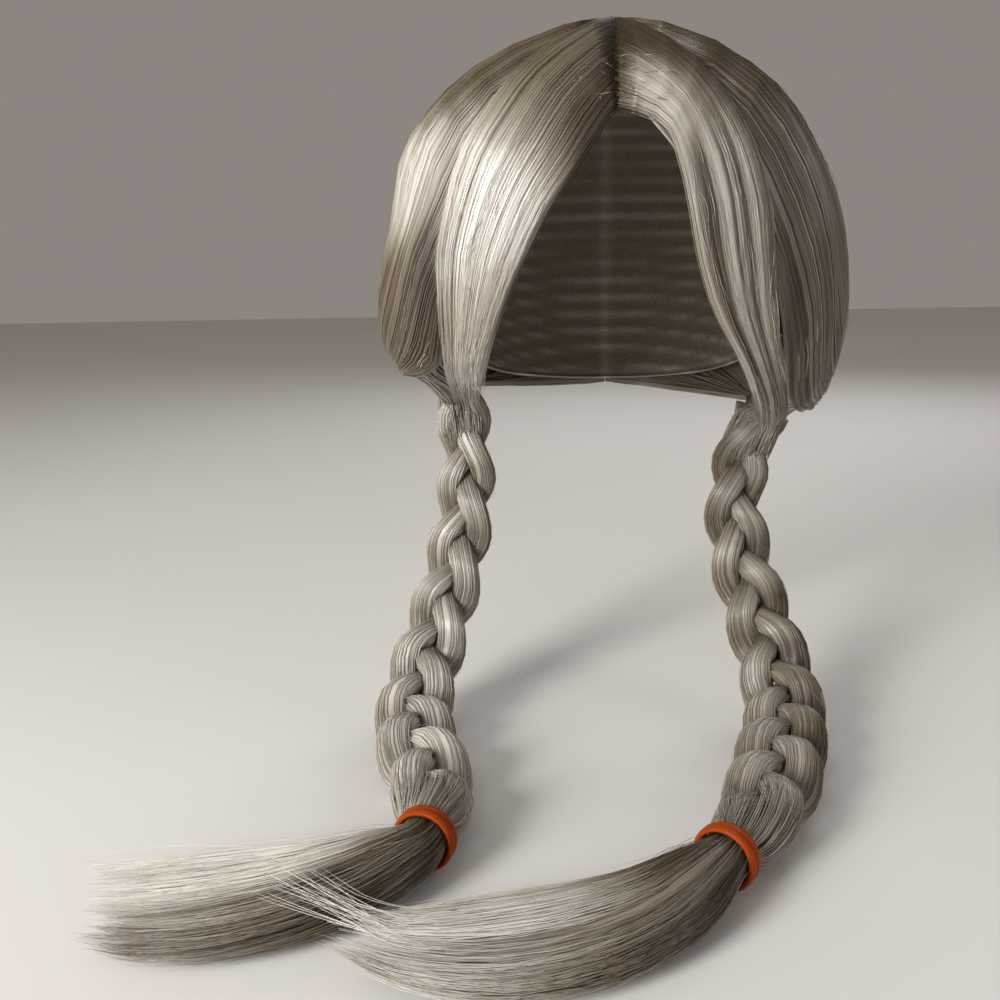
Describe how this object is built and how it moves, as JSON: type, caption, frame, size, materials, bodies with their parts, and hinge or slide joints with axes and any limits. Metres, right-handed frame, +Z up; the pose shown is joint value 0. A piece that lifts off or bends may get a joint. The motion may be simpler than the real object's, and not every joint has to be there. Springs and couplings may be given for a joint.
{
  "type": "pigtail wig",
  "caption": "Long straight grey wig with a middle parting and long front locks, gathered behind the ears into plaits that end in orange elastic bands and loose tails.",
  "frame": {"origin": "inside of the cap at the top of the crown, where the head carries the wig", "axes": "+Z up, the wig faces -Y, +X is the wearer's left"},
  "size_m": [0.2697, 0.3107, 0.292],
  "materials": {
    "hair": "glossy straight synthetic fibre, silver grey",
    "cap_net": "matt elastic net",
    "band_elastic": "glossy orange elastic"
  },
  "bodies": {
    "root": {"cap": "cap_net", "crown_hair_r": "hair", "crown_hair_l": "hair", "front_lock_r": "hair", "front_lock_l": "hair", "plait_r_strand_1": "hair", "plait_r_strand_2": "hair", "plait_r_strand_3": "hair", "plait_l_strand_1": "hair", "plait_l_strand_2": "hair", "plait_l_strand_3": "hair", "band_r": "band_elastic", "band_l": "band_elastic", "tail_r": "hair", "tail_l": "hair"}
  },
  "joints": []
}
